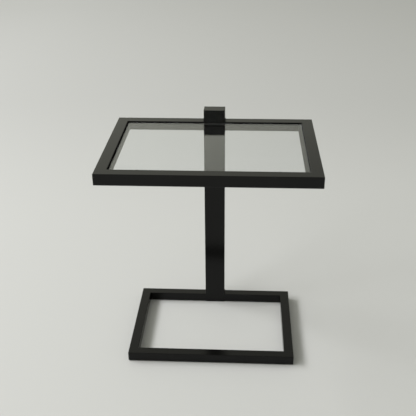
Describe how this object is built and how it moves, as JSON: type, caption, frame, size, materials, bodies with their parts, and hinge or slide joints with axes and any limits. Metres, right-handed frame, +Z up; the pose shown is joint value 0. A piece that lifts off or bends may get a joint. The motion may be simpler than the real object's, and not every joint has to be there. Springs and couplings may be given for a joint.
{
  "type": "c shaped side table",
  "caption": "C-shaped side table: a recessed clear glass top in a square-tube frame, carried at its back edge by one flat post on an open rectangular floor frame.",
  "frame": {"origin": "on the floor, under the centre of the outline of the whole table", "axes": "+Z up, +Y towards the back edge, where the post stands, +X to the right when the table is seen from its open front"},
  "size_m": [0.46, 0.335, 0.538],
  "materials": {
    "black_powder_coat": "satin black powder coat on steel tube",
    "clear_glass": "clear tempered glass, polished, edges arrised",
    "black_rubber": "soft black rubber",
    "black_plastic": "matt black moulded polyethylene"
  },
  "bodies": {
    "table_frame": {"base_front_rail": "black_powder_coat", "base_left_rail": "black_powder_coat", "base_rear_rail_left": "black_powder_coat", "base_rear_rail_right": "black_powder_coat", "base_right_rail": "black_powder_coat", "bumper_front_left": "black_rubber", "bumper_front_right": "black_rubber", "bumper_left": "black_rubber", "bumper_rear_left": "black_rubber", "bumper_rear_right": "black_rubber", "bumper_right": "black_rubber", "glass_ledge_front": "black_powder_coat", "glass_ledge_left": "black_powder_coat", "glass_ledge_rear": "black_powder_coat", "glass_ledge_right": "black_powder_coat", "glide_front_left": "black_plastic", "glide_front_right": "black_plastic", "glide_rear_left": "black_plastic", "glide_rear_right": "black_plastic", "post_cap": "black_powder_coat", "post_foot_plug": "black_plastic", "post_tube": "black_powder_coat", "top_front_rail": "black_powder_coat", "top_left_rail": "black_powder_coat", "top_rear_rail_left": "black_powder_coat", "top_rear_rail_right": "black_powder_coat", "top_right_rail": "black_powder_coat"},
    "glass_top": {"glass_pane": "clear_glass"}
  },
  "joints": [
    {"name": "glass_lift", "type": "slide", "parent": "table_frame", "child": "glass_top", "axis": [0, 0, 1], "range_m": [0, 0.06]}
  ]
}
